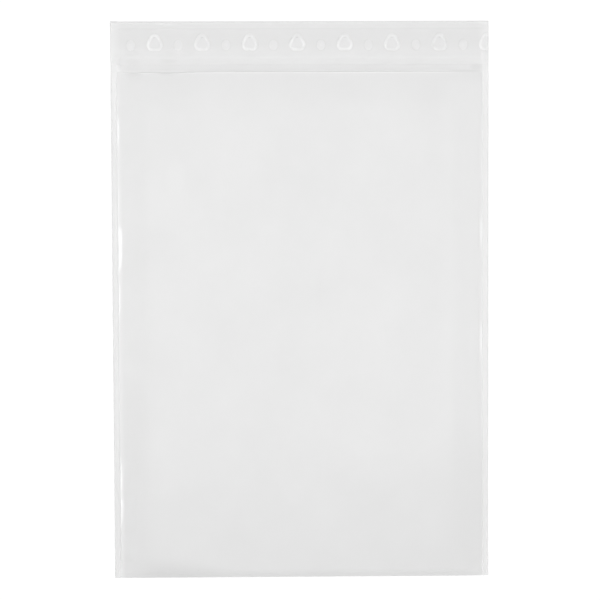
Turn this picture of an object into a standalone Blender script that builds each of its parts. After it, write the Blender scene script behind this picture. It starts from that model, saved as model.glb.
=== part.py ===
"""A peel-and-seal mailer bag of plastic film, lying on its back with its flap open.

One web of film is folded across the bottom and welded down both sides. The front layer stops at the mouth,
and the back layer runs on past it as the flap, which carries a strip of adhesive under a release liner.

Metres, +Z up. X is across the bag, +Y runs from the bottom fold to the end of the flap, the back lies on
z = 0 and the origin is in the middle of the back.
"""

import math

import bmesh
import bpy

# The film and the bag's outline
FILM = 0.0001  # one layer of film
BAG_WIDTH = 0.240
POCKET_LENGTH = 0.323  # from the bottom fold to the mouth
FLAP_LENGTH = 0.032  # from the mouth to the end of the flap
WELD_WIDTH = 0.004  # the flat seam down each side
WELD_SQUASH = 0.85  # the seam's thickness as a share of its two layers before they melt together

# How the front stands off the back, with a little air in the pocket
LOFT = 0.0058  # clear height inside the pocket at the inner end of each shoulder
CROWN = 0.0014  # how much higher the middle of the front stands than that
SHOULDER = 0.022  # run from a seam up to the loft
BOTTOM_RUN = 0.034  # run from the bottom fold up to the loft
FOLD_GAP = 0.0008  # clear height inside the bottom fold
MOUTH_RUN = 0.045  # run over which the front changes towards its free edge at the mouth
MOUTH_DIP = 0.0004  # the free edge sags by this
MOUTH_WAVE = 0.0004  # and waves up and down by this
MOUTH_WAVE_PITCH = 0.098
RIPPLE_HEIGHT = 0.00018  # long low ripples along the shoulders
RIPPLE_PITCH = 0.046
GATHER_RUN = 0.009  # how far a gather reaches in from its seam
GATHERS = (  # where the film bulges out of a seam: side, distance below the mouth, half length, height
    (-1, 0.036, 0.012, 0.0003),
    (-1, 0.111, 0.038, 0.0009),
    (-1, 0.278, 0.023, 0.0007),
    (1, 0.062, 0.010, 0.0005),
    (1, 0.100, 0.013, 0.0008),
    (1, 0.139, 0.009, 0.0004),
    (1, 0.166, 0.012, 0.0009),
)

# Adhesive and release liner on the flap
SEAT_GAP = 0.0003  # left between pieces that lie on each other
SIDE_TRIM = 0.0005  # the strips stop this far inside the bag's edges
ADHESIVE_WIDTH = 0.019
ADHESIVE_THICKNESS = 0.00012
ADHESIVE_SETBACK = 0.0045  # from the end of the flap
LINER_WIDTH = 0.0266
LINER_THICKNESS = 0.00016
LINER_SETBACK = 0.0009  # from the end of the flap

# Raised marks along the liner: plain rings with three rounded corners, and a dot between each two
MARK_PITCH = 0.03035
FIRST_MARK = 0.0284  # from the bag's left edge
MARK_DROP = 0.0144  # from the end of the flap to the middle of a ring
MARK_SIZE = 0.0107  # across a ring
MARK_CORNER = 0.0021  # outer radius of a ring's corners
MARK_LINE = 0.0014
MARK_RELIEF = 0.0001
MARK_MARGIN = 0.0002  # marks stop this far inside the liner's ends
DOT_SIZE = 0.0033
DOT_DROP = 0.0156

# Fineness of the meshes
SHOULDER_STEPS = 8
MIDDLE_STEPS = 10
BOTTOM_STEPS = 7
LENGTH_STEPS = 48
FOLD_STEPS = 8
CORNER_STEPS = 5
DOT_STEPS = 10
MERGE = 0.000002  # points closer than this are one point

BOTTOM = -(POCKET_LENGTH + FLAP_LENGTH) / 2
MOUTH = BOTTOM + POCKET_LENGTH
FLAP_END = MOUTH + FLAP_LENGTH
HALF_WIDTH = BAG_WIDTH / 2
SEAM_LINE = HALF_WIDTH - WELD_WIDTH
WELD_THICKNESS = 2 * FILM * WELD_SQUASH
FOLD_DEPTH = FILM + FOLD_GAP / 2  # the bend's reach, from its straight start to the bottom of the bag
ADHESIVE_BASE = FILM + SEAT_GAP
LINER_BASE = ADHESIVE_BASE + ADHESIVE_THICKNESS + SEAT_GAP


def clear_scene():
    for old in list(bpy.data.objects):
        bpy.data.objects.remove(old, do_unlink=True)


def collection(name):
    made = bpy.data.collections.new(name)
    bpy.context.scene.collection.children.link(made)
    return made


def plastic(name, colour, roughness, alpha=1.0):
    """A material with one Principled BSDF."""
    material = bpy.data.materials.new(name)
    material.use_nodes = True
    shader = material.node_tree.nodes["Principled BSDF"]
    shader.inputs["Base Color"].default_value = (*colour, 1)
    shader.inputs["Roughness"].default_value = roughness
    shader.inputs["Metallic"].default_value = 0
    shader.inputs["Alpha"].default_value = alpha
    return material


def place(name, bm, material, where):
    """Makes an object of a bmesh whose faces close up, and shades it smooth but for its sharp edges."""
    bmesh.ops.remove_doubles(bm, verts=bm.verts, dist=MERGE)
    bmesh.ops.recalc_face_normals(bm, faces=bm.faces)
    mesh = bpy.data.meshes.new(name)
    bm.to_mesh(mesh)
    bm.free()
    mesh.shade_smooth()
    mesh.set_sharp_from_angle(angle=math.radians(40))
    if material:
        mesh.materials.append(material)
    made = bpy.data.objects.new(name, mesh)
    where.objects.link(made)
    return made


def patch(bm, rows):
    """Quads between rows of points. Where patches share a border, their points coincide and merge later."""
    grid = [[bm.verts.new(point) for point in row] for row in rows]
    for low, high in zip(grid, grid[1:]):
        for a, b, c, d in zip(low, low[1:], high[1:], high):
            bm.faces.new((a, b, c, d))


def levelling(run):
    """A rise from 0 to 1 that starts at a crease and flattens out at the end of its run."""
    run = min(max(run, 0), 1)
    return run * (2 - run)


def pucker(x, y):
    """How far the film beside a seam stands above its smooth shoulder: ripples, and the gathers near the seam."""
    from_seam = max(SEAM_LINE - abs(x), 0)
    run = min(from_seam / SHOULDER, 1)
    turn = 2 * math.pi * (MOUTH - y) / RIPPLE_PITCH
    left = math.sin(turn) + 0.6 * math.sin(1.7 * turn + 1)
    right = math.sin(0.8 * turn + 2) + 0.5 * math.sin(1.9 * turn)
    height = RIPPLE_HEIGHT * (left if x < 0 else right) * math.sin(math.pi * run) ** 2

    near = min(from_seam / GATHER_RUN, 1)
    bulge = 6.75 * near * (1 - near) ** 2  # 1 at its highest, a third of the way in
    for side, below_mouth, half_length, swell in GATHERS:
        along = (MOUTH - below_mouth - y) / half_length
        if side * x > 0 and abs(along) < 1:
            height += swell * bulge * math.cos(math.pi / 2 * along) ** 2
    return height


def pocket_height(x, y):
    """Clear height inside the pocket: nothing at the seams, the fold's gap at the bottom, open at the mouth."""
    rise = levelling((y - BOTTOM - FOLD_DEPTH) / BOTTOM_RUN)
    height = FOLD_GAP + (LOFT - FOLD_GAP + CROWN * (1 - (x / SEAM_LINE) ** 2)) * rise
    freedom = 1 - levelling((MOUTH - y) / MOUTH_RUN)
    height -= freedom * (MOUTH_DIP + MOUTH_WAVE * math.sin(2 * math.pi * x / MOUTH_WAVE_PITCH + 1))
    return height * levelling((SEAM_LINE - abs(x)) / SHOULDER) + pucker(x, y) * rise


def columns():
    """Places across the bag: close together on the shoulders, wider apart in the middle."""
    inner = SEAM_LINE - SHOULDER
    shoulder = [SEAM_LINE - SHOULDER * (i / SHOULDER_STEPS) ** 2 for i in reversed(range(SHOULDER_STEPS))]
    middle = [inner * (2 * i / MIDDLE_STEPS - 1) for i in range(MIDDLE_STEPS + 1)]
    return [-x for x in reversed(shoulder)] + middle + shoulder


def rows():
    """Places along the pocket, from the mouth down to where the bottom fold begins to bend."""
    start = BOTTOM + FOLD_DEPTH
    low = [start + BOTTOM_RUN * i / BOTTOM_STEPS for i in range(BOTTOM_STEPS)]
    straight = MOUTH - start - BOTTOM_RUN
    high = [start + BOTTOM_RUN + straight * i / LENGTH_STEPS for i in range(LENGTH_STEPS + 1)]
    return list(reversed(low + high))


def front_top(x, y):
    """Height of the front's outer face, which drops to the weld's thickness outside the pocket."""
    if abs(x) > SEAM_LINE - MERGE:
        return WELD_THICKNESS
    return 2 * FILM + pocket_height(x, y)


def bend(x, depth, bottom, top):
    """Points round the bottom fold at one place across the bag, from the top face to the bottom face."""
    middle = (top + bottom) / 2
    half = (top - bottom) / 2
    start = BOTTOM + FOLD_DEPTH
    turns = [math.pi * i / FOLD_STEPS for i in range(FOLD_STEPS + 1)]
    return [(x, start - depth * math.sin(turn), middle + half * math.cos(turn)) for turn in turns]


def make_film_bag(material, where):
    """The folded and welded film: an outer skin, the pocket's skin inside it, and the flap."""
    bm = bmesh.new()
    inside = columns()
    across = [-HALF_WIDTH] + inside + [HALF_WIDTH]
    down = rows()
    start = down[-1]

    # Outer skin: down the front, round the fold and back up to the end of the flap
    front = [[(x, y, front_top(x, y)) for x in across] for y in down]
    fold = list(zip(*[bend(x, FOLD_DEPTH, 0, front_top(x, start)) for x in across]))
    back = [[(x, y, 0) for x in across] for y in reversed(down)]
    flap_edge = [(x, FLAP_END, 0) for x in across]
    patch(bm, front + fold[1:-1] + back + [flap_edge])

    # Pocket skin: its two sides close onto each other along the seams
    ceiling = [[(x, y, FILM + max(pocket_height(x, y), 0)) for x in inside] for y in down]
    inner_fold = list(
        zip(*[bend(x, FOLD_DEPTH - FILM, FILM, FILM + pocket_height(x, start)) for x in inside])
    )
    floor = [[(x, y, FILM) for x in inside] for y in reversed(down)]
    patch(bm, ceiling + inner_fold[1:-1] + floor)

    # Flap: its upper face, and the cut edges of the film
    patch(bm, [[(x, y, FILM) for x in across] for y in (MOUTH, FLAP_END)])
    patch(bm, [flap_edge, [(x, FLAP_END, FILM) for x in across]])
    patch(bm, [front[0][1:-1], ceiling[0]])
    for side in (-1, 1):
        edge = side * HALF_WIDTH
        seam = side * SEAM_LINE
        patch(bm, [[(edge, MOUTH, z), (edge, FLAP_END, z)] for z in (0, FILM)])
        patch(bm, [[(edge, y, z) for y in down] for z in (0, FILM, WELD_THICKNESS)])
        patch(bm, [[(x, MOUTH, z) for x in (seam, edge)] for z in (FILM, WELD_THICKNESS)])
        corner = bend(edge, FOLD_DEPTH, 0, WELD_THICKNESS) + [(edge, start, FILM)]
        bm.faces.new([bm.verts.new(point) for point in corner])
    return place("film_bag", bm, material, where)


def make_strip(name, width, thickness, setback, base, material, where):
    """A flat strip across the flap, setback from the flap's end."""
    bm = bmesh.new()
    bmesh.ops.create_cube(bm, size=1)
    bmesh.ops.scale(bm, vec=(BAG_WIDTH - 2 * SIDE_TRIM, width, thickness), verts=bm.verts)
    middle = (0, FLAP_END - setback - width / 2, base + thickness / 2)
    bmesh.ops.translate(bm, vec=middle, verts=bm.verts)
    return place(name, bm, material, where)


def ring_outline(radius):
    """Three arcs about a ring's corner centres: its outer outline, or with a smaller radius its inner one."""
    reach = (MARK_SIZE / 2 - MARK_CORNER) / math.cos(math.radians(30))
    points = []
    for corner in range(3):
        aim = math.radians(90 + 120 * corner)
        for i in range(CORNER_STEPS + 1):
            turn = aim + math.radians(120 * i / CORNER_STEPS - 60)
            x = reach * math.cos(aim) + radius * math.cos(turn)
            y = reach * math.sin(aim) + radius * math.sin(turn)
            points.append((x, y))
    return points


def dot_outline():
    turns = [2 * math.pi * i / DOT_STEPS for i in range(DOT_STEPS)]
    return [(DOT_SIZE / 2 * math.cos(turn), DOT_SIZE / 2 * math.sin(turn)) for turn in turns]


def add_outline(curve, points, x, y):
    spline = curve.splines.new("POLY")
    spline.points.add(len(points) - 1)
    for made, (dx, dy) in zip(spline.points, points):
        made.co = (x + dx, y + dy, 0, 1)
    spline.use_cyclic_u = True


def make_marks(where):
    """The row of rings and dots as solids that reach from inside the liner to just above it."""
    curve = bpy.data.curves.new("marks_outline", "CURVE")
    curve.dimensions = "2D"
    curve.fill_mode = "BOTH"
    depth = LINER_THICKNESS / 2 + MARK_RELIEF
    curve.extrude = depth / 2
    end = HALF_WIDTH - SIDE_TRIM - MARK_MARGIN
    x = FIRST_MARK - HALF_WIDTH
    while x - MARK_SIZE / 2 < end - MARK_LINE:
        add_outline(curve, ring_outline(MARK_CORNER), x, FLAP_END - MARK_DROP)
        add_outline(curve, ring_outline(MARK_CORNER - MARK_LINE), x, FLAP_END - MARK_DROP)
        add_outline(curve, dot_outline(), x - MARK_PITCH / 2, FLAP_END - DOT_DROP)
        x += MARK_PITCH
    drawn = bpy.data.objects.new("marks_outline", curve)
    where.objects.link(drawn)
    drawn.location.z = LINER_BASE + LINER_THICKNESS / 2 + depth / 2

    bpy.context.view_layer.update()
    flat = bpy.data.meshes.new_from_object(drawn.evaluated_get(bpy.context.evaluated_depsgraph_get()))
    bm = bmesh.new()
    bm.from_mesh(flat)
    bm.transform(drawn.matrix_world)
    bpy.data.objects.remove(drawn)
    bmesh.ops.remove_doubles(bm, verts=bm.verts, dist=MERGE)

    # The web of liner runs on past the bag, so a mark at its edge is cut through
    for side in (-1, 1):
        everything = bm.verts[:] + bm.edges[:] + bm.faces[:]
        bmesh.ops.bisect_plane(
            bm, geom=everything, plane_co=(side * end, 0, 0), plane_no=(side, 0, 0), clear_outer=True
        )
        bmesh.ops.holes_fill(bm, edges=[edge for edge in bm.edges if edge.is_boundary])
    marks = place("marks", bm, None, where)
    marks.hide_render = True
    marks.display_type = "WIRE"
    return marks


def make_release_liner(marks, material, where):
    liner = make_strip(
        "release_liner", LINER_WIDTH, LINER_THICKNESS, LINER_SETBACK, LINER_BASE, material, where
    )
    raised = liner.modifiers.new("raised_marks", "BOOLEAN")
    raised.operation = "UNION"
    raised.object = marks
    return liner


clear_scene()
bag = collection("poly_mailer_bag")
cutters = collection("cutters")
film = plastic("clear_film", (0.80, 0.81, 0.81), 0.15, 0.5)
adhesive = plastic("hot_melt_adhesive", (0.78, 0.79, 0.78), 0.3, 0.7)
liner_film = plastic("liner_film", (0.84, 0.85, 0.85), 0.3, 0.8)

make_film_bag(film, bag)
make_strip(
    "adhesive_strip", ADHESIVE_WIDTH, ADHESIVE_THICKNESS, ADHESIVE_SETBACK, ADHESIVE_BASE, adhesive, bag
)
make_release_liner(make_marks(cutters), liner_film, bag)
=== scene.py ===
"""The looks of a peel-and-seal mailer bag of clear film, lying empty on its back with its flap open.

Metres, +Z up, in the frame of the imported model. X is across the bag, +Y runs from the bottom fold to the end
of the flap, and the back lies on z = 0. The pieces follow in the order in which such a bag is made.
"""

import math
import random

import bmesh
import bpy
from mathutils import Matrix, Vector


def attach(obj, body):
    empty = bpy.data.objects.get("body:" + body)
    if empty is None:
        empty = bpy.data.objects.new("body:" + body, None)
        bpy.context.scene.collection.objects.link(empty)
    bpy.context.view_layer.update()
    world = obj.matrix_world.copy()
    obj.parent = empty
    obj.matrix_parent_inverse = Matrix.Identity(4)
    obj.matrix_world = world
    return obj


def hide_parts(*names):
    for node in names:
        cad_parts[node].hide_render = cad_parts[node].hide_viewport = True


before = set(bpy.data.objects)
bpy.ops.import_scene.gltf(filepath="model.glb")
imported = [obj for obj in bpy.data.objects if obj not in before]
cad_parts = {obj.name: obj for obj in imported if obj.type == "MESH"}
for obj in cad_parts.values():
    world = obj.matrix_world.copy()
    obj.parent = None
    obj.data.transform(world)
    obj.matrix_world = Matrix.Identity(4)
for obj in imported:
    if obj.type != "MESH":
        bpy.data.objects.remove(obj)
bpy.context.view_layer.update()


# The film: one web of clear polyethylene 0.1 mm thick, folded once across the bottom. A hot knife cut the
# bag off the web and welded its layers together down both sides. The front stops at the mouth, the back runs
# on as the flap, and a little air keeps the front off the back.
FILM = 0.0001
BAG_WIDTH = 0.240
POCKET_LENGTH = 0.323
FLAP_LENGTH = 0.032
WELD_WIDTH = 0.004
WELD_THICKNESS = 0.00017
HALF_WIDTH = BAG_WIDTH / 2
SEAM_LINE = HALF_WIDTH - WELD_WIDTH
BOTTOM = -(POCKET_LENGTH + FLAP_LENGTH) / 2
MOUTH = BOTTOM + POCKET_LENGTH
FLAP_END = MOUTH + FLAP_LENGTH

# The hot knife leaves a bead along the cut edge and a thin ridge of squeezed-out film along the seam line
BEAD_WIDTH = 0.0009
BEAD_HEIGHT = 0.00022
RIDGE_WIDTH = 0.0007
RIDGE_HEIGHT = 0.0002

LOFT = 0.0058
CROWN = 0.0014
SHOULDER = 0.022
BOTTOM_RUN = 0.105
FOLD_GAP = 0.0008
FOLD_DEPTH = FILM + FOLD_GAP / 2
FOLD_RUN = 0.0048  # the film springs out of the fold over this run
FOLD_SHARE = 0.13  # and by this share of its height
WEDGE = (0.03, 0.11)  # left of the middle, from here to here, both of these grow
WEDGE_RUN_GROWTH = 1.5
WEDGE_SHARE_GROWTH = 1
MOUTH_RUN = 0.035
MOUTH_DIP = 0.0034
MOUTH_WAVE = 0.0004
MOUTH_WAVE_PITCH = 0.098
LIP_RECESS = 0.0007  # the free edge is drawn back where the air lifts it
LIP_RECESS_RUN = 0.03
RIPPLE_HEIGHT = 0.00018
RIPPLE_PITCH = 0.046

# Gathers, where the front bulges out of a seam: distance below the mouth, half length, height, reach inwards
gathers = {
    -1: [
        (0.038, 0.012, 0.0003, 0.012),
        (0.078, 0.020, 0.0002, 0.012),
        (0.112, 0.018, 0.0005, 0.012),
        (0.143, 0.014, 0.0002, 0.012),
        (0.260, 0.014, 0.0005, 0.011),
        (0.283, 0.015, 0.0010, 0.011),
        (0.303, 0.010, 0.0012, 0.010),
    ],
    1: [(0.101, 0.009, 0.00011, 0.0035), (0.171, 0.012, 0.00012, 0.005)],
}
chance = random.Random(5)
for side in (-1, 1):
    below_mouth = 0.010
    while below_mouth < POCKET_LENGTH - 0.016:
        half_length = chance.uniform(0.003, 0.008)
        rise = chance.uniform(0, 0.00006)
        gathers[side].append((below_mouth, half_length, rise, 0.005))
        below_mouth += chance.uniform(0.007, 0.015)

# Soft waves in the left half of the free edge, which draw it back too: place across, half width, height
MOUTH_PUCKERS = [(-0.105, 0.008, 0.0007), (-0.0825, 0.009, 0.0007)]
MOUTH_PUCKER_RUN = 0.008

# Places on the flap where the film stands off the table: x, y, half width, half length, height
FLAP_RIDGES = [
    (-0.1158, 0.1500, 0.0028, 0.0100, 0.0007),
    (0.1170, 0.1600, 0.0024, 0.0120, 0.0007),
    (-0.1050, 0.1545, 0.0070, 0.0055, 0.0006),
    (-0.0830, 0.1545, 0.0080, 0.0055, 0.0006),
    (-0.0845, 0.1768, 0.0090, 0.0016, 0.0004),
    (-0.0845, 0.1729, 0.0090, 0.0013, 0.0003),
]
CORNER_FOLD = (0.0055, 0.0075)  # how much of the flap's left corner turns up, across and along
CORNER_LIFT = 0.0014
FLAP_FREE_RUN = 0.004  # the flap lies flat at the mouth, and is free to lift from this far beyond it

# Into how many steps the film is divided: across a weld's bead or ridge, a shoulder and the middle, and along
# the bag, where the steps are finer close to the mouth and to the fold
WELD_STEPS = 8
SHOULDER_STEPS = 26
SHOULDER_CROWDING = 1.5
MIDDLE_STEPS = 24
LENGTH_STEPS = 170
FINE_RUN = 0.012
FINE_STEPS = 12
BEND_STEPS = 10
FLAP_STEPS = 40
SHARP_ANGLE = math.radians(50)
MERGE_DISTANCE = 0.000002


def levelling(run):
    """A rise from 0 to 1 that starts at a crease and flattens out at the end of its run."""
    run = min(max(run, 0), 1)
    return run * (2 - run)


def swell(distance, half_length):
    """A soft hump, 1 in the middle and 0 from half_length on."""
    return math.cos(math.pi / 2 * distance / half_length) ** 2 if abs(distance) < half_length else 0


def plateau(distance, half_length):
    """A hump that is level over its middle half and eases down to 0 at half_length."""
    level = min(max(2 - 2 * abs(distance) / half_length, 0), 1)
    return level * level * (3 - 2 * level)


def pucker(x, y):
    """How far the film beside a seam stands above its smooth shoulder."""
    from_seam = max(SEAM_LINE - abs(x), 0)
    run = min(from_seam / SHOULDER, 1)
    turn = 2 * math.pi * (MOUTH - y) / RIPPLE_PITCH
    left = math.sin(turn) + 0.6 * math.sin(1.7 * turn + 1)
    right = math.sin(0.8 * turn + 2) + 0.5 * math.sin(1.9 * turn)
    height = RIPPLE_HEIGHT * (left if x < 0 else right) * math.sin(math.pi * run) ** 2

    for below_mouth, half_length, rise, reach in gathers[-1 if x < 0 else 1]:
        near = min(from_seam / reach, 1)
        bulge = 3.5 * near * (1 - near * near) ** 2  # nearly straight at first, and 1 at its highest
        height += rise * bulge * plateau(MOUTH - below_mouth - y, half_length)
    return height


def pocket_height(x, y):
    """Clear height inside the pocket: nothing at the seams, a little at the fold, open at the mouth."""
    from_fold = y - BOTTOM - FOLD_DEPTH
    wedge = min(max((-x - WEDGE[0]) / (WEDGE[1] - WEDGE[0]), 0), 1)
    fold_share = FOLD_SHARE * (1 + WEDGE_SHARE_GROWTH * wedge)
    fold_rise = levelling(from_fold / (FOLD_RUN * (1 + WEDGE_RUN_GROWTH * wedge)))
    rise = (1 - fold_share) * levelling(from_fold / BOTTOM_RUN) + fold_share * fold_rise
    height = FOLD_GAP + (LOFT - FOLD_GAP + CROWN * (1 - (x / SEAM_LINE) ** 2)) * rise
    freedom = 1 - levelling((MOUTH - y) / MOUTH_RUN)
    height -= freedom * (MOUTH_DIP + MOUTH_WAVE * math.sin(2 * math.pi * x / MOUTH_WAVE_PITCH + 1))
    for middle, half_width, rise_at_edge in MOUTH_PUCKERS:
        height -= rise_at_edge * swell(x - middle, half_width) * swell(MOUTH - y, MOUTH_PUCKER_RUN)
    return max(height * levelling((SEAM_LINE - abs(x)) / SHOULDER) + pucker(x, y) * rise, 0)


def drawn_back(x, y):
    """Where a point of the front lies along the bag, once the lifted free edge has drawn it back."""
    puckered = sum(depth * swell(x - middle, half_width) for middle, half_width, depth in MOUTH_PUCKERS)
    recess = (LIP_RECESS + puckered) * levelling((SEAM_LINE - abs(x)) / SHOULDER)
    near_mouth = max(1 - (MOUTH - y) / LIP_RECESS_RUN, 0)
    return y - recess * near_mouth**2


def flap_lift(x, y):
    """How far the flap, and all that lies on it, stands off the table."""
    lift = 0
    for middle_x, middle_y, half_width, half_length, height in FLAP_RIDGES:
        lift += height * swell(x - middle_x, half_width) * swell(y - middle_y, half_length)
    across, along = CORNER_FOLD
    past_fold = (across - HALF_WIDTH - x) / across + (y - FLAP_END + along) / along - 1
    if past_fold > 0:
        lift += CORNER_LIFT * past_fold
    return lift * levelling((y - MOUTH) / FLAP_FREE_RUN)


def weld_top(x):
    """Height of the melted seam's upper face, with its bead and its ridge."""
    bead = BEAD_HEIGHT * swell(HALF_WIDTH - 0.3 * BEAD_WIDTH - abs(x), BEAD_WIDTH)
    ridge = RIDGE_HEIGHT * swell(abs(x) - SEAM_LINE - RIDGE_WIDTH, RIDGE_WIDTH)
    return WELD_THICKNESS + bead + ridge


def patch(bm, rows):
    """Quads between rows of points. Where patches share a border, their points coincide and merge later."""
    grid = [[bm.verts.new(point) for point in row] for row in rows]
    for low, high in zip(grid, grid[1:]):
        for a, b, c, d in zip(low, low[1:], high[1:], high):
            bm.faces.new((a, b, c, d))


def closed_piece(name, bm, material):
    """Joins the patches of one closed piece, turns its faces outwards and places it in the scene."""
    bmesh.ops.remove_doubles(bm, verts=bm.verts, dist=MERGE_DISTANCE)
    bmesh.ops.recalc_face_normals(bm, faces=bm.faces)
    mesh = bpy.data.meshes.new(name)
    bm.to_mesh(mesh)
    bm.free()
    mesh.shade_smooth()
    mesh.set_sharp_from_angle(angle=SHARP_ANGLE)
    mesh.materials.append(material)
    piece = bpy.data.objects.new(name, mesh)
    bpy.context.scene.collection.objects.link(piece)
    return piece


def bend(x, depth, bottom, top):
    """Points round the bottom fold at one place across the bag, from the top face to the bottom face."""
    start = BOTTOM + FOLD_DEPTH
    turns = [math.pi * i / BEND_STEPS for i in range(BEND_STEPS + 1)]
    return [
        (x, start - depth * math.sin(turn), (top + bottom) / 2 + (top - bottom) / 2 * math.cos(turn))
        for turn in turns
    ]


def spread(first, last, steps, power=1.0):
    """Places from first to last, closer together at first where power is above 1."""
    return [first + (last - first) * (i / steps) ** power for i in range(steps + 1)]


def build_film():
    """The bag's outer skin, its pocket skin, its flap and the cut edges between them."""
    bm = bmesh.new()
    bead = spread(HALF_WIDTH, HALF_WIDTH - 1.5 * BEAD_WIDTH, WELD_STEPS)
    weld = bead + spread(SEAM_LINE + 2 * RIDGE_WIDTH, SEAM_LINE, WELD_STEPS)
    shoulder = spread(SEAM_LINE, SEAM_LINE - SHOULDER, SHOULDER_STEPS, SHOULDER_CROWDING)
    middle = spread(SEAM_LINE - SHOULDER, SHOULDER - SEAM_LINE, MIDDLE_STEPS)
    inside = [-x for x in shoulder[:-1]] + [-x for x in middle] + shoulder[-2::-1]
    across = [-x for x in weld[:-1]] + inside + weld[-2::-1]
    start = BOTTOM + FOLD_DEPTH
    down = spread(MOUTH, MOUTH - FINE_RUN, FINE_STEPS)[:-1]
    down += spread(MOUTH - FINE_RUN, start + FINE_RUN, LENGTH_STEPS)[:-1]
    down += list(reversed(spread(start, start + FINE_RUN, FINE_STEPS)))
    flap = spread(MOUTH, FLAP_END, FLAP_STEPS)
    height = {y: {x: pocket_height(x, y) for x in inside} for y in down}

    def front_top(x, y):
        return weld_top(x) if abs(x) >= SEAM_LINE else 2 * FILM + height[y][x]

    # Outer skin: down the front, round the fold, back up under the pocket and on under the flap
    front = [[(x, drawn_back(x, y), front_top(x, y)) for x in across] for y in down]
    fold = list(zip(*[bend(x, FOLD_DEPTH, 0, front_top(x, start)) for x in across]))
    back = [[(x, y, 0) for x in across] for y in reversed(down)]
    flap_back = [[(x, y, flap_lift(x, y)) for x in across] for y in flap]
    patch(bm, front + fold[1:-1] + back + flap_back[1:])

    # Pocket skin: its two sides close onto each other along the seams
    ceiling = [[(x, drawn_back(x, y), FILM + height[y][x]) for x in inside] for y in down]
    inner_fold = list(zip(*[bend(x, FOLD_DEPTH - FILM, FILM, FILM + height[start][x]) for x in inside]))
    floor_of_pocket = [[(x, y, FILM) for x in inside] for y in reversed(down)]
    patch(bm, ceiling + inner_fold[1:-1] + floor_of_pocket)

    # Flap: its upper face, and the cut edges of the film
    flap_front = [[(x, y, z + FILM) for x, y, z in row] for row in flap_back]
    patch(bm, flap_front)
    patch(bm, [flap_back[-1], flap_front[-1]])
    lip = [point for point in front[0] if abs(point[0]) <= SEAM_LINE]
    patch(bm, [lip, ceiling[0]])
    for side in (-1, 1):
        edge = side * HALF_WIDTH
        patch(bm, [[(edge, y, z + flap_lift(edge, y)) for y in flap] for z in (0, FILM)])
        patch(bm, [[(edge, y, z) for y in down] for z in (0, FILM, weld_top(edge))])
        patch(bm, [[(side * x, MOUTH, FILM) for x in weld], [(side * x, MOUTH, weld_top(x)) for x in weld]])
        corner = bend(edge, FOLD_DEPTH, 0, weld_top(edge)) + [(edge, start, FILM)]
        bm.faces.new([bm.verts.new(point) for point in corner])
    return bm


def film_surface_group():
    """The surface of blown film: die lines along the web, cloudy haze, and a few tiny gels."""
    group = bpy.data.node_groups.new("film_surface", "ShaderNodeTree")
    socket = group.interface.new_socket
    socket("Vector", in_out="INPUT", socket_type="NodeSocketVector")
    for name in ("Line Scale", "Cloud Scale", "Gel Scale"):
        socket(name, in_out="INPUT", socket_type="NodeSocketFloat")
    for name in ("Haze", "Gels", "Height"):
        socket(name, in_out="OUTPUT", socket_type="NodeSocketFloat")
    nodes, link = group.nodes, group.links.new
    given, put_out = nodes.new("NodeGroupInput"), nodes.new("NodeGroupOutput")

    stretched = nodes.new("ShaderNodeVectorMath")
    stretched.operation = "MULTIPLY"
    stretched.inputs[1].default_value = (0.02, 1, 1)
    link(given.outputs["Vector"], stretched.inputs[0])
    lines = nodes.new("ShaderNodeTexNoise")
    lines.inputs["Detail"].default_value = 3
    link(stretched.outputs[0], lines.inputs["Vector"])
    link(given.outputs["Line Scale"], lines.inputs["Scale"])

    haze = nodes.new("ShaderNodeTexNoise")
    haze.inputs["Detail"].default_value = 4
    haze.inputs["Roughness"].default_value = 0.6
    link(given.outputs["Vector"], haze.inputs["Vector"])
    link(given.outputs["Cloud Scale"], haze.inputs["Scale"])

    cells = nodes.new("ShaderNodeTexVoronoi")
    link(given.outputs["Vector"], cells.inputs["Vector"])
    link(given.outputs["Gel Scale"], cells.inputs["Scale"])
    gels = nodes.new("ShaderNodeMapRange")
    gels.inputs["From Min"].default_value = 0.004
    gels.inputs["From Max"].default_value = 0.009
    gels.inputs["To Min"].default_value = 1
    gels.inputs["To Max"].default_value = 0
    link(cells.outputs["Distance"], gels.inputs["Value"])

    height = nodes.new("ShaderNodeMath")
    height.operation = "MULTIPLY_ADD"
    height.inputs[1].default_value = 0.5
    link(lines.outputs["Fac"], height.inputs[0])
    link(haze.outputs["Fac"], height.inputs[2])

    link(haze.outputs["Fac"], put_out.inputs["Haze"])
    link(gels.outputs["Result"], put_out.inputs["Gels"])
    link(height.outputs[0], put_out.inputs["Height"])
    return group


def across_mask_group():
    """A mask by the distance from the bag's middle: 0 inside Start, 1 outside End."""
    group = bpy.data.node_groups.new("towards_the_sides", "ShaderNodeTree")
    socket = group.interface.new_socket
    socket("Vector", in_out="INPUT", socket_type="NodeSocketVector")
    for name in ("Start", "End"):
        socket(name, in_out="INPUT", socket_type="NodeSocketFloat")
    socket("Mask", in_out="OUTPUT", socket_type="NodeSocketFloat")
    nodes, link = group.nodes, group.links.new
    given, put_out = nodes.new("NodeGroupInput"), nodes.new("NodeGroupOutput")
    parts = nodes.new("ShaderNodeSeparateXYZ")
    distance = nodes.new("ShaderNodeMath")
    distance.operation = "ABSOLUTE"
    ramp = nodes.new("ShaderNodeMapRange")
    link(given.outputs["Vector"], parts.inputs[0])
    link(parts.outputs["X"], distance.inputs[0])
    link(distance.outputs[0], ramp.inputs["Value"])
    link(given.outputs["Start"], ramp.inputs["From Min"])
    link(given.outputs["End"], ramp.inputs["From Max"])
    link(ramp.outputs["Result"], put_out.inputs["Mask"])
    return group


film_surface = film_surface_group()
towards_the_sides = across_mask_group()


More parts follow.
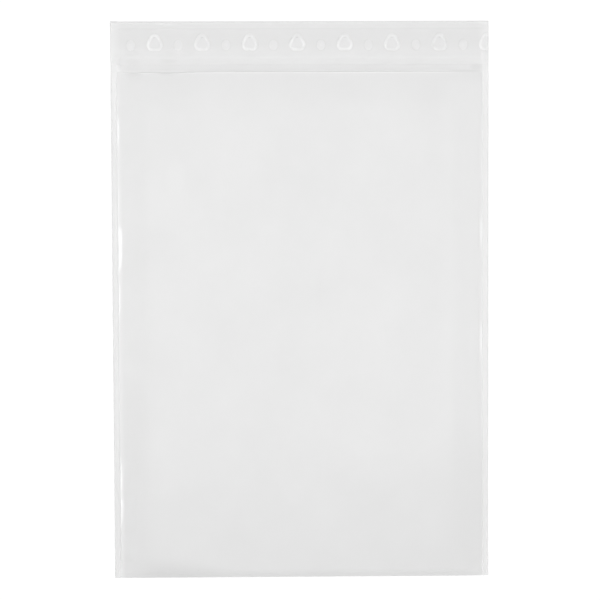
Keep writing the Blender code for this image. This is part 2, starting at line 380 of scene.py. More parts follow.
def plastic(name, roughness, alpha, line_scale, cloud_scale, gel_scale, bump):
    """A plastic with the surface of blown film. Returns the material, its nodes and a way to link them."""
    material = bpy.data.materials.new(name)
    material.use_nodes = True
    nodes, link = material.node_tree.nodes, material.node_tree.links.new
    shader = nodes["Principled BSDF"]
    shader.inputs["Roughness"].default_value = roughness
    shader.inputs["Alpha"].default_value = alpha
    shader.inputs["IOR"].default_value = 1.5
    place = nodes.new("ShaderNodeTexCoord")
    place.name = "place"
    surface = nodes.new("ShaderNodeGroup")
    surface.name = "surface"
    surface.node_tree = film_surface
    surface.inputs["Line Scale"].default_value = line_scale
    surface.inputs["Cloud Scale"].default_value = cloud_scale
    surface.inputs["Gel Scale"].default_value = gel_scale
    link(place.outputs["Object"], surface.inputs["Vector"])
    relief = nodes.new("ShaderNodeBump")
    relief.inputs["Strength"].default_value = 1
    relief.inputs["Distance"].default_value = bump
    link(surface.outputs["Height"], relief.inputs["Height"])
    link(relief.outputs["Normal"], shader.inputs["Normal"])
    return material, nodes, link


def side_mask(nodes, link, start, end):
    """A mask that rises from start to end, as distances from the bag's middle."""
    mask = nodes.new("ShaderNodeGroup")
    mask.node_tree = towards_the_sides
    mask.inputs["Start"].default_value = start
    mask.inputs["End"].default_value = end
    link(nodes["place"].outputs["Object"], mask.inputs["Vector"])
    return mask.outputs["Mask"]


def place_mask(nodes, link, axis, start, end):
    """A mask that goes from 0 at start to 1 at end along the bag's X or Y."""
    parts = nodes.new("ShaderNodeSeparateXYZ")
    link(nodes["place"].outputs["Object"], parts.inputs[0])
    ramp = nodes.new("ShaderNodeMapRange")
    ramp.interpolation_type = "SMOOTHSTEP"
    ramp.inputs["From Min"].default_value = start
    ramp.inputs["From Max"].default_value = end
    link(parts.outputs[axis], ramp.inputs["Value"])
    return ramp.outputs["Result"]


def spot_mask(nodes, link, x, y, half_width, half_length):
    """A soft oval, 1 in its middle and 0 from its rim on."""
    from_middle, scaled, reach = (nodes.new("ShaderNodeVectorMath") for step in range(3))
    from_middle.operation = "SUBTRACT"
    from_middle.inputs[1].default_value = (x, y, 0)
    scaled.operation = "MULTIPLY"
    scaled.inputs[1].default_value = (1 / half_width, 1 / half_length, 0)
    reach.operation = "LENGTH"
    link(nodes["place"].outputs["Object"], from_middle.inputs[0])
    link(from_middle.outputs[0], scaled.inputs[0])
    link(scaled.outputs[0], reach.inputs[0])
    ramp = nodes.new("ShaderNodeMapRange")
    ramp.interpolation_type = "SMOOTHSTEP"
    ramp.inputs["From Min"].default_value = 1
    ramp.inputs["From Max"].default_value = 0.3
    link(reach.outputs["Value"], ramp.inputs["Value"])
    return ramp.outputs["Result"]


def grey(value):
    return (value, value, value, 1)


def feed(link, socket, value):
    """Gives a node's input a value, or links it to the socket that the value comes from."""
    if isinstance(value, bpy.types.NodeSocket):
        link(value, socket)
    else:
        socket.default_value = value


def blend(nodes, link, mask, low, high):
    """A colour or number that goes from low to high with the mask. Either may be a socket."""
    colour = any(isinstance(value, tuple) or getattr(value, "type", None) == "RGBA" for value in (low, high))
    mix = nodes.new("ShaderNodeMix")
    mix.data_type = "RGBA" if colour else "FLOAT"
    first, second, out = (6, 7, 2) if colour else (2, 3, 0)
    link(mask, mix.inputs[0])
    feed(link, mix.inputs[first], low)
    feed(link, mix.inputs[second], high)
    return mix.outputs[out]


def with_spots(nodes, link, colour, spots, paler=0.0):
    """The colour with soft ovals of other tones laid over it."""
    for x, y, half_width, half_length, tone in spots:
        spot = spot_mask(nodes, link, x, y, half_width, half_length)
        colour = blend(nodes, link, spot, colour, grey(tone + paler))
    return colour


# Where the flap stands off the paper, and gets less of its light: x, y, half width, half length, tone
SHADED = [
    (-0.1055, 0.1476, 0.0095, 0.0062, 0.805),
    (-0.0840, 0.1476, 0.0100, 0.0062, 0.805),
    (0.1120, 0.1482, 0.0050, 0.0026, 0.770),
]

# Soft patches of the front painted paler or darker as painted light and shade: paler where shallow dents catch
# the light, darker low down as painted shade: x, y, half width, half length, tone
PAINTED_LIGHT_AND_SHADE_SPOTS = [
    (-0.0790, 0.0770, 0.0085, 0.0170, 0.888),
    (0.1030, 0.0600, 0.0100, 0.0070, 0.892),
    (0.1030, 0.0060, 0.0100, 0.0100, 0.892),
    (-0.1000, -0.1780, 0.0650, 0.0170, 0.828),
    (0.1120, -0.1350, 0.0350, 0.0750, 0.862),
]


# Where the film's tone changes: the axis, where the change starts and where it is complete
FILM_AREAS = {
    "flap": ("Y", MOUTH - 0.0002, MOUTH + 0.0004),
    "flap's end": ("Y", FLAP_END - 0.0014, FLAP_END - 0.0008),
    "lip": ("Y", MOUTH - 0.010, MOUTH - 0.001),
    "free edge": ("Y", MOUTH - 0.0018, MOUTH - 0.0009),
    "past the free edge": ("Y", MOUTH + 0.0002, MOUTH + 0.0016),
    "left of the free edge": ("X", -0.060, -0.074),
    "right of the free edge": ("X", 0.085, 0.105),
    "below the lip": ("Y", 0.135, 0.085),
    "all but the bottom": ("Y", -0.155, -0.020),
    "lower half": ("Y", -0.035, -0.085),
    "bottom": ("Y", -0.050, -0.135),
    "left half": ("X", 0.01, -0.01),
    "left side": ("X", -0.088, -0.108),
    "right side": ("X", 0.082, 0.108),
    "beside the left weld": ("X", 0.0034 - SEAM_LINE, 0.0008 - SEAM_LINE),
}
WELD_AREA = (SEAM_LINE - 0.0003, SEAM_LINE + 0.0003)
CUT_AREA = (HALF_WIDTH - 0.0011, HALF_WIDTH - 0.0006)

FILM_TONES = {
    "thin haze": 0.848,
    "thick haze": 0.902,
    # painted highlight on the right shoulder
    "right shoulder": 0.898,
    # painted shade on the left shoulder, low down
    "left shoulder": 0.85,
    # painted shade on the front just below the lip
    "lip": 0.868,
    # painted shade over the flap
    "flap": 0.817,
    # painted light along the front's free edge
    "free edge": 0.932,
    # painted highlight beside the left weld
    "beside the left weld": 0.90,
    # the welds' own paler tone of melted film, lighter on the right as painted highlight, darker on the left
    # and at the bottom as painted shade
    "right weld": 0.902,
    "right weld at the bottom": 0.872,
    "left weld": 0.878,
    "left weld at the bottom": 0.852,
    "weld on the flap": 0.885,
    "gel": 0.80,
    "cut": 0.85,
    "flap's end": 0.785,
}
# The free edge's pale line is painted light
FAINT_PAINTED_LIGHT = 0.55  # how much of the free edge's pale line is left towards the left
FILM_ROUGHNESS = (0.11, 0.15)
FILM_ALPHA = 0.75
WELD_ALPHA = 0.72


def film_material():
    """Clear film, hazy in the web and paler at the hot welds. Painted highlights on the right shoulder, beside
    the left weld and along the front's free edge; painted shade on the left shoulder, below the lip, over the
    flap's single layer and on the welds towards the bottom.
    """
    material, nodes, link = plastic(
        "clear_film", 0.14, FILM_ALPHA, line_scale=900, cloud_scale=28, gel_scale=14, bump=0.000008
    )
    shader, surface = nodes["Principled BSDF"], nodes["surface"]
    area = {name: place_mask(nodes, link, *change) for name, change in FILM_AREAS.items()}
    tone = {name: grey(value) for name, value in FILM_TONES.items()}
    weld = side_mask(nodes, link, *WELD_AREA)
    cut = side_mask(nodes, link, *CUT_AREA)

    # Painted light along the front's free edge, fainter to the left and none near the right weld
    painted_light_free_edge = blend(nodes, link, area["past the free edge"], area["free edge"], 0.0)
    faint_painted_light = blend(nodes, link, painted_light_free_edge, 0.0, FAINT_PAINTED_LIGHT)
    painted_light_free_edge = blend(nodes, link, area["left of the free edge"], painted_light_free_edge, faint_painted_light)
    painted_light_free_edge = blend(nodes, link, area["right of the free edge"], painted_light_free_edge, 0.0)
    painted_light_right_shoulder = blend(nodes, link, area["all but the bottom"], 0.0, area["right side"])
    painted_shade_left_shoulder = blend(nodes, link, area["lower half"], 0.0, area["left side"])
    left_half = blend(nodes, link, area["below the lip"], 0.0, area["left half"])
    # The welds' own paler tone, with painted highlight on the right and the flap and painted shade on the left
    # and towards the bottom
    right_weld = blend(nodes, link, area["bottom"], tone["right weld"], tone["right weld at the bottom"])
    left_weld = blend(nodes, link, area["bottom"], tone["left weld"], tone["left weld at the bottom"])
    welded = blend(nodes, link, left_half, right_weld, left_weld)
    welded = blend(nodes, link, area["flap"], welded, tone["weld on the flap"])

    colour = blend(nodes, link, surface.outputs["Haze"], tone["thin haze"], tone["thick haze"])
    # Painted light and shade in soft patches
    colour = with_spots(nodes, link, colour, PAINTED_LIGHT_AND_SHADE_SPOTS)
    # Painted highlight on the right shoulder, above the bottom
    colour = blend(nodes, link, painted_light_right_shoulder, colour, tone["right shoulder"])
    # Painted shade on the left shoulder in the lower half
    colour = blend(nodes, link, painted_shade_left_shoulder, colour, tone["left shoulder"])
    # Painted shade on the front just below the lip
    colour = blend(nodes, link, area["lip"], colour, tone["lip"])
    # Painted shade over the flap's single layer
    colour = blend(nodes, link, area["flap"], colour, tone["flap"])
    colour = with_spots(nodes, link, colour, SHADED)
    # Painted light along the free edge
    colour = blend(nodes, link, painted_light_free_edge, colour, tone["free edge"])
    # Painted highlight beside the left weld
    colour = blend(nodes, link, area["beside the left weld"], colour, tone["beside the left weld"])
    # The welds: their own paler tone, with painted light and shade
    colour = blend(nodes, link, weld, colour, welded)
    colour = blend(nodes, link, surface.outputs["Gels"], colour, tone["gel"])
    colour = blend(nodes, link, cut, colour, tone["cut"])
    colour = blend(nodes, link, area["flap's end"], colour, tone["flap's end"])
    link(colour, shader.inputs["Base Color"])
    link(blend(nodes, link, surface.outputs["Haze"], *FILM_ROUGHNESS), shader.inputs["Roughness"])
    link(blend(nodes, link, weld, FILM_ALPHA, WELD_ALPHA), shader.inputs["Alpha"])
    return material


film = closed_piece("film", build_film(), film_material())
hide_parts("film_bag")
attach(film, "root")


# The adhesive: a band of pressure-sensitive hot melt, coated onto the flap while the web runs past. It is
# thick along the flap's end and thins out towards the mouth, and its long edges are a little uneven.
SEAT_GAP = 0.0003
SIDE_TRIM = 0.0005
ADHESIVE_WIDTH = 0.019
ADHESIVE_THICKNESS = 0.00012
ADHESIVE_SETBACK = 0.0045
ADHESIVE_BASE = FILM + SEAT_GAP
ADHESIVE_TOP_EDGE = FLAP_END - ADHESIVE_SETBACK
THICK_ADHESIVE = 0.009  # it is at its full thickness down to here from its top edge
THIN_ADHESIVE = 0.015  # and a mere trace from here on


def strip(top_edge, width, base, thickness, lengthwise, crosswise, edge_wander=0.0, edge_shape=None):
    """A thin strip across the flap that follows the film below. edge_shape lifts it near its long edges."""
    bm = bmesh.new()
    end = HALF_WIDTH - SIDE_TRIM
    across = spread(-end, end, lengthwise)

    def point(x, share, z):
        wander = edge_wander * (math.sin(900 * x) + math.sin(370 * x + 2)) * (2 * share - 1)
        y = top_edge - width * share + wander
        lift = edge_shape(width * min(share, 1 - share)) if edge_shape else 0
        return (x, y, base + z + lift + flap_lift(x, y))

    shares = [i / crosswise for i in range(crosswise + 1)]
    under = [[point(x, share, 0) for x in across] for share in shares]
    over = [[point(x, share, thickness) for x in across] for share in shares]
    patch(bm, under)
    patch(bm, over)
    patch(bm, [under[0], over[0]])
    patch(bm, [under[-1], over[-1]])
    for end_point in (0, -1):
        patch(bm, [[row[end_point] for row in under], [row[end_point] for row in over]])
    return bm


def thinning_mask(nodes, link):
    """0 where the adhesive is thick, 1 where it is a trace."""
    top = ADHESIVE_TOP_EDGE
    return place_mask(nodes, link, "Y", top - THICK_ADHESIVE, top - THIN_ADHESIVE)


DARK_ADHESIVE = (0.66, 0.66, 0.65, 1)
PALE_ADHESIVE = (0.72, 0.72, 0.71, 1)
THIN_ADHESIVE_TONE = 0.87
THICK_ADHESIVE_ALPHA = 0.6
THIN_ADHESIVE_ALPHA = 0.25


def adhesive_material():
    """Cloudy hot melt that gets paler and clearer where it thins out."""
    material, nodes, link = plastic(
        "hot_melt", 0.3, 0.5, line_scale=300, cloud_scale=160, gel_scale=20, bump=0.00002
    )
    shader, surface = nodes["Principled BSDF"], nodes["surface"]
    thinning = thinning_mask(nodes, link)
    colour = blend(nodes, link, surface.outputs["Haze"], DARK_ADHESIVE, PALE_ADHESIVE)
    colour = blend(nodes, link, thinning, colour, grey(THIN_ADHESIVE_TONE))
    link(colour, shader.inputs["Base Color"])
    alpha = blend(nodes, link, thinning, THICK_ADHESIVE_ALPHA, THIN_ADHESIVE_ALPHA)
    link(alpha, shader.inputs["Alpha"])
    return material


adhesive_shape = strip(
    ADHESIVE_TOP_EDGE, ADHESIVE_WIDTH, ADHESIVE_BASE, ADHESIVE_THICKNESS,
    lengthwise=240, crosswise=14, edge_wander=0.0001,
)
adhesive = closed_piece("adhesive", adhesive_shape, adhesive_material())
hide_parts("adhesive_strip")
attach(adhesive, "root")


# The release liner: a strip of siliconed film that keeps the adhesive clean until it is peeled off. It is
# laid on the web together with the adhesive, and the hot knife trims it with the bag.
LINER_WIDTH = 0.0266
LINER_THICKNESS = 0.00016
LINER_SETBACK = 0.0009
LINER_BASE = ADHESIVE_BASE + ADHESIVE_THICKNESS + SEAT_GAP
LINER_SAG = 0.0007  # beyond the adhesive its free edges sag
LINER_SAG_RUN = 0.005
LINER_CURL = 0.0001  # and curl up again at the cut
LINER_CURL_RUN = 0.0012


def liner_edge(from_edge):
    """How far the liner lies above or below its own middle, at a distance from its long edge."""
    return LINER_CURL * swell(from_edge, LINER_CURL_RUN) - LINER_SAG * swell(from_edge, LINER_SAG_RUN)


# Where the liner's tone changes along Y, and its tones in the middle of its haze
LINER_TOP_EDGE = FLAP_END - LINER_SETBACK
ADHESIVE_END = ADHESIVE_TOP_EDGE - ADHESIVE_WIDTH
LINER_AREAS = {
    "cut edge": (LINER_TOP_EDGE - 0.0018, LINER_TOP_EDGE - 0.0006),
    "over the adhesive": (ADHESIVE_TOP_EDGE + 0.0003, ADHESIVE_TOP_EDGE - 0.0003),
    "past the adhesive": (ADHESIVE_END + 0.0006, ADHESIVE_END - 0.0006),
}
LINER_TONES = {
    "above the adhesive": 0.91,
    "over the adhesive": 0.88,
    "over thin adhesive": 0.90,
    "past the adhesive": 0.888,
    # painted shade at the cut edge, where the curl catches the light
    "cut edge": 0.885,
    # painted highlight over the welds, near the bag's sides
    "over the weld": 0.93,
}
LINER_HAZE = 0.015
SHADED_LINER_PALER = 0.065  # than the film, where both stand off the paper


def over_weld_mask(nodes, link):
    """1 where the liner lies over a weld of the bag."""
    return side_mask(nodes, link, SEAM_LINE - 0.003, SEAM_LINE + 0.002)


def liner_material():
    """Smooth film, paler than the bag's, in which the adhesive below shows as a change of tone."""
    material, nodes, link = plastic(
        "liner_film", 0.25, 0.7, line_scale=700, cloud_scale=110, gel_scale=18, bump=0.000012
    )
    shader, surface = nodes["Principled BSDF"], nodes["surface"]
    area = {name: place_mask(nodes, link, "Y", *change) for name, change in LINER_AREAS.items()}
    thinning = thinning_mask(nodes, link)
    hazes = []
    for change in (-LINER_HAZE, LINER_HAZE):
        tone = {name: grey(value + change) for name, value in LINER_TONES.items()}
        above, over = tone["above the adhesive"], tone["over the adhesive"]
        haze = blend(nodes, link, area["over the adhesive"], above, over)
        haze = blend(nodes, link, thinning, haze, tone["over thin adhesive"])
        hazes.append(blend(nodes, link, area["past the adhesive"], haze, tone["past the adhesive"]))
    colour = blend(nodes, link, surface.outputs["Haze"], *hazes)
    colour = with_spots(nodes, link, colour, SHADED, SHADED_LINER_PALER)
    # Painted shade along the cut edge, where the liner's curl catches the light
    colour = blend(nodes, link, area["cut edge"], colour, grey(LINER_TONES["cut edge"]))
    # Painted highlight over the welds, near the bag's sides
    colour = blend(nodes, link, over_weld_mask(nodes, link), colour, grey(LINER_TONES["over the weld"]))
    link(colour, shader.inputs["Base Color"])
    return material


liner_shape = strip(
    LINER_TOP_EDGE, LINER_WIDTH, LINER_BASE, LINER_THICKNESS,
    lengthwise=360, crosswise=60, edge_shape=liner_edge,
)
liner = closed_piece("liner", liner_shape, liner_material())
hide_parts("release_liner")
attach(liner, "root")


# The marks: a row of plain rings with three rounded corners, and a dot between each two, that a roller
# pressed into the liner. The web ran on past the bag, so the last mark is cut through by the trim.
MARK_PITCH = 0.0301
FIRST_MARK = 0.0281
MARK_DROP = 0.0139
MARK_SIZE = 0.0117
MARK_CORNER = 0.0040
MARK_LINE = 0.0025
MARK_FILL = 0.6
MARK_FILL_SPREAD = 1.5  # how wide a ring's filling is, in dots
MARK_NARROWING = 0.9
MARK_SOFTNESS = 4.0  # the higher, the narrower the crest of each swell and the softer its foot
MARK_PRESS = 0.45  # how high a ring stands at its top and bottom
# The higher crest on a ring's sides also whitens it more, which is partly painted highlight
MARK_SIDE_PRESS = 0.55  # and how much higher at its sides
MARK_RELIEF = 0.00016
MARK_SINK = 0.000002
MARK_COUNT = 8
MARK_SEED = 3
MARK_TRIM = 0.0002  # the last mark is cut off this far inside the liner's end
MARK_LIFT = 1.05  # of the flap's lift, as the liner's facets stand a little above the ridges' curve
MARK_SHARP_ANGLE = math.radians(60)
DOT_SIZE = 0.0058
DOT_STRETCH = 1.25
DOT_DROP = 0.0152
DOT_PRESS = 0.75

MARK_TONES = {
    "over the adhesive": 0.690,
    "over thin adhesive": 0.709,
    # painted highlight near the bag's sides, as on the liner
    "over the weld": 0.76,
    "whitened": 0.82,
}
WHITE_PATCHES = (0.42, 0.58)  # from where to where in the haze the film turns white
SOFTLY_WHITENED = (0.1, 0.7)  # how far, outside and inside the patches
FIRMLY_WHITENED = (0.4, 1.1)


def marks_material():
    """Film that lost its clearness under the roller, and whitened in patches along the crest of each line."""
    material, nodes, link = plastic(
        "pressed_marks", 0.35, 1.0, line_scale=700, cloud_scale=300, gel_scale=18, bump=0.000006
    )
    shader, surface = nodes["Principled BSDF"], nodes["surface"]
    tone = {name: grey(value) for name, value in MARK_TONES.items()}
    press, crest = nodes.new("ShaderNodeAttribute"), nodes.new("ShaderNodeAttribute")
    press.attribute_name = "press"
    crest.attribute_name = "crest"
    patches = nodes.new("ShaderNodeMapRange")
    patches.inputs["From Min"].default_value = WHITE_PATCHES[0]
    patches.inputs["From Max"].default_value = WHITE_PATCHES[1]
    link(surface.outputs["Haze"], patches.inputs["Value"])
    softly = blend(nodes, link, patches.outputs["Result"], *SOFTLY_WHITENED)
    firmly = blend(nodes, link, patches.outputs["Result"], *FIRMLY_WHITENED)
    whitened = blend(nodes, link, press.outputs["Fac"], softly, firmly)
    # The crest sets the whitening, so the rings' sides are partly painted highlight
    whitened = blend(nodes, link, crest.outputs["Fac"], 0.0, whitened)
    thinning = thinning_mask(nodes, link)
    untouched = blend(nodes, link, thinning, tone["over the adhesive"], tone["over thin adhesive"])
    # Painted highlight near the bag's sides
    untouched = blend(nodes, link, over_weld_mask(nodes, link), untouched, tone["over the weld"])
    link(blend(nodes, link, whitened, untouched, tone["whitened"]), shader.inputs["Base Color"])
    return material


def marks_tree(material):
    """Rings and dots along a line, each pressed a little harder or softer than the next."""
    tree = bpy.data.node_groups.new("pressed_marks", "GeometryNodeTree")
    socket = tree.interface.new_socket
    sizes = (
        "Pitch", "Size", "Corner", "Line", "Fill", "Fill Spread", "Narrowing", "Softness", "Press",
        "Side Press", "Relief", "Sink", "Dot Size", "Dot Stretch", "Dot Drop", "Dot Press",
    )
    for name in sizes:
        socket(name, in_out="INPUT", socket_type="NodeSocketFloat")
    socket("Start", in_out="INPUT", socket_type="NodeSocketVector")
    for name in ("Count", "Seed"):
        socket(name, in_out="INPUT", socket_type="NodeSocketInt")
    socket("Geometry", in_out="OUTPUT", socket_type="NodeSocketGeometry")
    nodes, link = tree.nodes, tree.links.new
    given, put_out = nodes.new("NodeGroupInput"), nodes.new("NodeGroupOutput")

    def math_node(operation, first, second=0.0):
        node = nodes.new("ShaderNodeMath")
        node.operation = operation
        feed(link, node.inputs[0], first)
        feed(link, node.inputs[1], second)
        return node.outputs[0]

    def vector(x=0.0, y=0.0, z=0.0):
        node = nodes.new("ShaderNodeCombineXYZ")
        for place, value in enumerate((x, y, z)):
            feed(link, node.inputs[place], value)
        return node.outputs[0]

    # The middle of a ring's line: a triangle whose corners are rounded by half a line less than the outside
    half_line = math_node("MULTIPLY", given.outputs["Line"], 0.5)
    corner = math_node("SUBTRACT", given.outputs["Corner"], half_line)
    reach = math_node("MULTIPLY", given.outputs["Size"], 0.5)
    reach = math_node("SUBTRACT", reach, given.outputs["Corner"])
    reach = math_node("DIVIDE", reach, math.cos(math.radians(30)))
    sharp_corner = math_node("ADD", reach, math_node("MULTIPLY", corner, 2))
    triangle = nodes.new("GeometryNodeCurvePrimitiveCircle")
    triangle.inputs["Resolution"].default_value = 3
    link(sharp_corner, triangle.inputs["Radius"])
    rounded = nodes.new("GeometryNodeFilletCurve")
    rounded.mode = "POLY"
    rounded.inputs["Count"].default_value = 8
    link(triangle.outputs["Curve"], rounded.inputs["Curve"])
    link(corner, rounded.inputs["Radius"])
    bead = nodes.new("GeometryNodeCurvePrimitiveCircle")
    bead.inputs["Resolution"].default_value = 20
    link(half_line, bead.inputs["Radius"])
    ring = nodes.new("GeometryNodeCurveToMesh")
    link(rounded.outputs["Curve"], ring.inputs["Curve"])
    link(bead.outputs["Curve"], ring.inputs["Profile Curve"])
    turned = nodes.new("GeometryNodeTransform")
    turned.inputs["Rotation"].default_value = (0, 0, math.radians(90))
    link(ring.outputs["Mesh"], turned.inputs["Geometry"])
    flat_ring = nodes.new("GeometryNodeTransform")
    link(turned.outputs["Geometry"], flat_ring.inputs["Geometry"])
    unit_height = math_node("DIVIDE", 1.0, half_line)
    link(vector(given.outputs["Narrowing"], 1.0, unit_height), flat_ring.inputs["Scale"])

    # A dot half a pitch before each ring, and a wider and lower one that fills the ring
    half_dot = math_node("MULTIPLY", given.outputs["Dot Size"], 0.5)
    dot = nodes.new("GeometryNodeMeshUVSphere")
    dot.inputs["Segments"].default_value = 20
    dot.inputs["Rings"].default_value = 16
    link(half_dot, dot.inputs["Radius"])
    flat_dot = nodes.new("GeometryNodeTransform")
    link(dot.outputs["Mesh"], flat_dot.inputs["Geometry"])
    back_half_a_pitch = math_node("MULTIPLY", given.outputs["Pitch"], -0.5)
    link(vector(back_half_a_pitch, given.outputs["Dot Drop"]), flat_dot.inputs["Translation"])
    dot_height = math_node("DIVIDE", given.outputs["Dot Press"], half_dot)
    link(vector(1.0, given.outputs["Dot Stretch"], dot_height), flat_dot.inputs["Scale"])
    filling = nodes.new("GeometryNodeTransform")
    link(dot.outputs["Mesh"], filling.inputs["Geometry"])
    fill_spread = given.outputs["Fill Spread"]
    fill_height = math_node("DIVIDE", given.outputs["Fill"], half_dot)
    link(vector(fill_spread, fill_spread, fill_height), filling.inputs["Scale"])
    drawn = nodes.new("GeometryNodeJoinGeometry")
    link(filling.outputs["Geometry"], drawn.inputs["Geometry"])
    link(flat_dot.outputs["Geometry"], drawn.inputs["Geometry"])
    link(flat_ring.outputs["Geometry"], drawn.inputs["Geometry"])

    # All are up to one unit high and round so far. The roller leaves them as soft swells that run out into
    # the liner, which stand higher on a ring's sides than on its top and bottom; the sides are also whitened
    # more as painted highlight
    position = nodes.new("GeometryNodeInputPosition")
    parts = nodes.new("ShaderNodeSeparateXYZ")
    link(position.outputs["Position"], parts.inputs[0])
    crest = math_node("POWER", math_node("MAXIMUM", parts.outputs["Z"]), given.outputs["Softness"])
    outwards = math_node("DIVIDE", math_node("ABSOLUTE", parts.outputs["X"]), half_dot)
    pressed = math_node("MULTIPLY", math_node("MINIMUM", outwards, 1.0), given.outputs["Side Press"])
    pressed = math_node("ADD", pressed, given.outputs["Press"])
    crest = math_node("MULTIPLY", crest, pressed)
    crested = nodes.new("GeometryNodeStoreNamedAttribute")
    crested.inputs["Name"].default_value = "crest"
    link(drawn.outputs["Geometry"], crested.inputs["Geometry"])
    link(crest, crested.inputs["Value"])
    left_standing = nodes.new("GeometryNodeInputNamedAttribute")
    left_standing.inputs["Name"].default_value = "crest"
    swollen = math_node("MULTIPLY", left_standing.outputs["Attribute"], given.outputs["Relief"])
    swollen = math_node("SUBTRACT", swollen, given.outputs["Sink"])
    mark = nodes.new("GeometryNodeSetPosition")
    link(crested.outputs["Geometry"], mark.inputs["Geometry"])
    link(vector(parts.outputs["X"], parts.outputs["Y"], swollen), mark.inputs["Position"])

    # The row, with the pressure of the roller varying from mark to mark
    row = nodes.new("GeometryNodeMeshLine")
    link(given.outputs["Count"], row.inputs["Count"])
    link(given.outputs["Start"], row.inputs["Start Location"])
    link(vector(given.outputs["Pitch"]), row.inputs["Offset"])
    press = nodes.new("FunctionNodeRandomValue")
    link(given.outputs["Seed"], press.inputs["Seed"])
    stored = nodes.new("GeometryNodeStoreNamedAttribute")
    stored.inputs["Name"].default_value = "press"
    link(row.outputs["Mesh"], stored.inputs["Geometry"])
    link(press.outputs[1], stored.inputs["Value"])
    placed = nodes.new("GeometryNodeInstanceOnPoints")
    link(stored.outputs["Geometry"], placed.inputs["Points"])
    link(mark.outputs["Geometry"], placed.inputs["Instance"])
    real = nodes.new("GeometryNodeRealizeInstances")
    smooth = nodes.new("GeometryNodeSetShadeSmooth")
    finish = nodes.new("GeometryNodeSetMaterial")
    finish.inputs["Material"].default_value = material
    link(placed.outputs["Instances"], real.inputs["Geometry"])
    link(real.outputs["Geometry"], smooth.inputs["Geometry"])
    link(smooth.outputs["Geometry"], finish.inputs["Geometry"])
    link(finish.outputs["Geometry"], put_out.inputs["Geometry"])
    return tree


def make_marks():
    """The row of marks as a plain mesh, cut off at the liner's end and lifted with the flap."""
    material = marks_material()
    drawn = bpy.data.objects.new("marks", bpy.data.meshes.new("marks"))
    bpy.context.scene.collection.objects.link(drawn)
    row = drawn.modifiers.new("row", "NODES")
    row.node_group = marks_tree(material)
    sizes = {
        "Pitch": MARK_PITCH,
        "Size": MARK_SIZE,
        "Corner": MARK_CORNER,
        "Line": MARK_LINE,
        "Fill": MARK_FILL,
        "Fill Spread": MARK_FILL_SPREAD,
        "Narrowing": MARK_NARROWING,
        "Softness": MARK_SOFTNESS,
        "Press": MARK_PRESS,
        "Side Press": MARK_SIDE_PRESS,
        "Relief": MARK_RELIEF,
        "Sink": MARK_SINK,
        "Dot Size": DOT_SIZE,
        "Dot Stretch": DOT_STRETCH,
        "Dot Drop": MARK_DROP - DOT_DROP,
        "Dot Press": DOT_PRESS,
        "Start": (FIRST_MARK - HALF_WIDTH, FLAP_END - MARK_DROP, LINER_BASE + LINER_THICKNESS),
        "Count": MARK_COUNT,
        "Seed": MARK_SEED,
    }
    for item in row.node_group.interface.items_tree:
        if item.name in sizes and item.in_out == "INPUT":
            row[item.identifier] = sizes[item.name]
    graph = bpy.context.evaluated_depsgraph_get()
    made = bpy.data.meshes.new_from_object(drawn.evaluated_get(graph))
    drawn.modifiers.remove(row)
    drawn.data = made

    bm = bmesh.new()
    bm.from_mesh(made)
    end = HALF_WIDTH - SIDE_TRIM - MARK_TRIM
    everything = bm.verts[:] + bm.edges[:] + bm.faces[:]
    bmesh.ops.bisect_plane(bm, geom=everything, plane_co=(end, 0, 0), plane_no=(1, 0, 0), clear_outer=True)
    bmesh.ops.holes_fill(bm, edges=[edge for edge in bm.edges if edge.is_boundary])
    for vertex in bm.verts:
        vertex.co.z += MARK_LIFT * flap_lift(vertex.co.x, vertex.co.y)
    bmesh.ops.recalc_face_normals(bm, faces=bm.faces)
    bm.to_mesh(made)
    bm.free()
    made.shade_smooth()
    made.set_sharp_from_angle(angle=MARK_SHARP_ANGLE)
    return drawn


marks = make_marks()
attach(marks, "root")


# The studio: a white sheet of paper under the bag, a large soft light above it and a weaker one beyond the
# flap, and two low strips at the sides that shine in the steep film beside the seams.
PAPER_HALF_SIZE = 3
PAPER_GAP = 0.0003  # between the paper and the bag
PAPER_TONE = 0.85
FAINT_PAPER_TONE = 0.12  # what the background still takes of the light, and of the shadow
BACKGROUND_STRENGTH = 0.92
ROOM_STRENGTH = 0.36


def paper_material():
    """White paper. The camera, gloss and glass see it as a white background that still takes the shadow."""
    material = bpy.data.materials.new("white_paper")
    material.use_nodes = True
    nodes, link = material.node_tree.nodes, material.node_tree.links.new
    nodes.remove(nodes["Principled BSDF"])
    paper = nodes.new("ShaderNodeBsdfDiffuse")
    paper.inputs["Color"].default_value = grey(PAPER_TONE)
    faint_paper = nodes.new("ShaderNodeBsdfDiffuse")
    faint_paper.inputs["Color"].default_value = grey(FAINT_PAPER_TONE)
    white = nodes.new("ShaderNodeEmission")
    white.inputs["Strength"].default_value = BACKGROUND_STRENGTH
    background = nodes.new("ShaderNodeAddShader")
    link(faint_paper.outputs[0], background.inputs[0])
    link(white.outputs[0], background.inputs[1])
    choice = nodes.new("ShaderNodeMixShader")
    link(seen_directly(nodes, link), choice.inputs[0])
    link(paper.outputs[0], choice.inputs[1])
    link(background.outputs[0], choice.inputs[2])
    link(choice.outputs[0], nodes["Material Output"].inputs["Surface"])
    return material


def seen_directly(nodes, link):
    """1 for camera, glossy and transmission rays, 0 for the light that falls on the bag."""
    path = nodes.new("ShaderNodeLightPath")
    either = nodes.new("ShaderNodeMath")
    either.operation = "MAXIMUM"
    link(path.outputs["Is Camera Ray"], either.inputs[0])
    link(path.outputs["Is Glossy Ray"], either.inputs[1])
    any_of_them = nodes.new("ShaderNodeMath")
    any_of_them.operation = "MAXIMUM"
    link(either.outputs[0], any_of_them.inputs[0])
    link(path.outputs["Is Transmission Ray"], any_of_them.inputs[1])
    return any_of_them.outputs[0]


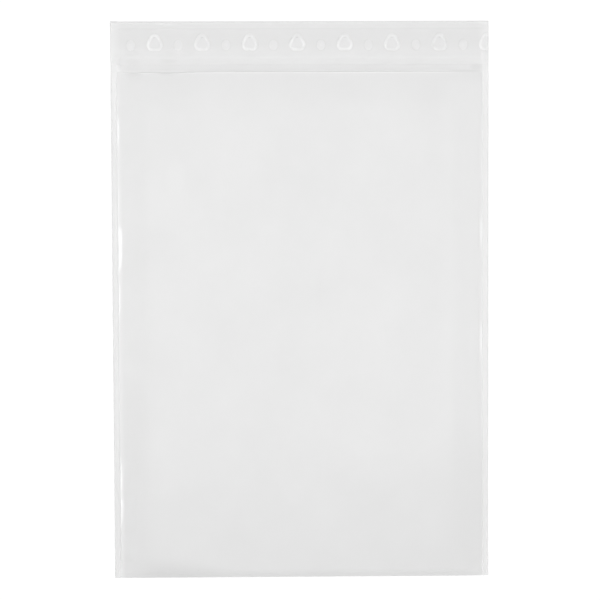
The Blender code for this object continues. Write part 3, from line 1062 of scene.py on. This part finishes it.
bm = bmesh.new()
bmesh.ops.create_grid(bm, x_segments=1, y_segments=1, size=PAPER_HALF_SIZE)
bmesh.ops.translate(bm, vec=(0, 0, -PAPER_GAP), verts=bm.verts)
floor_mesh = bpy.data.meshes.new("floor")
bm.to_mesh(floor_mesh)
bm.free()
floor_mesh.materials.append(paper_material())
floor = bpy.data.objects.new("floor", floor_mesh)
bpy.context.scene.collection.objects.link(floor)

world = bpy.data.worlds.new("studio")
world.use_nodes = True
bpy.context.scene.world = world
nodes, link = world.node_tree.nodes, world.node_tree.links.new
room = nodes["Background"]
room.inputs["Color"].default_value = grey(1)
room.inputs["Strength"].default_value = ROOM_STRENGTH
backdrop = nodes.new("ShaderNodeBackground")
backdrop.inputs["Color"].default_value = grey(1)
backdrop.inputs["Strength"].default_value = 1
choice = nodes.new("ShaderNodeMixShader")
link(seen_directly(nodes, link), choice.inputs[0])
link(room.outputs[0], choice.inputs[1])
link(backdrop.outputs[0], choice.inputs[2])
link(choice.outputs[0], nodes["World Output"].inputs["Surface"])


def softbox(name, place, aim, width, height, watts, shines=True):
    """A flat lamp turned towards its aim. One that doesn't shine isn't reflected in the film."""
    lamp = bpy.data.lights.new(name, "AREA")
    lamp.shape = "RECTANGLE"
    lamp.size = width
    lamp.size_y = height
    lamp.energy = watts
    box = bpy.data.objects.new(name, lamp)
    box.location = place
    box.rotation_euler = (Vector(aim) - Vector(place)).to_track_quat("-Z", "Y").to_euler()
    box.visible_glossy = shines
    bpy.context.scene.collection.objects.link(box)


softbox("top_light", (0, 0.04, 1.1), (0, 0.04, 0), width=0.8, height=0.8, watts=8.4, shines=False)
softbox("flap_light", (0, 1.3, 0.9), (0, 0, 0), width=1.2, height=0.6, watts=1)
softbox("left_light", (-1.3, 0.05, 0.35), (0, 0, 0), width=0.9, height=0.28, watts=5)
softbox("right_light", (1.3, 0.05, 0.35), (0, 0, 0), width=0.9, height=0.28, watts=4)

# The camera looks straight down, as in the photograph, from a little beyond the bag's middle
CAMERA_PLACE = (-0.01179, 0.03533, 0.90407)
CAMERA_TURN = (-2.2001, -0.7253, -0.2442)  # in degrees
lens = bpy.data.cameras.new("camera")
lens.lens = 85
lens.sensor_width = 36
camera = bpy.data.objects.new("camera", lens)
camera.location = CAMERA_PLACE
camera.rotation_euler = [math.radians(turn) for turn in CAMERA_TURN]
bpy.context.scene.collection.objects.link(camera)
bpy.context.scene.camera = camera
bpy.context.scene.view_settings.view_transform = "Standard"
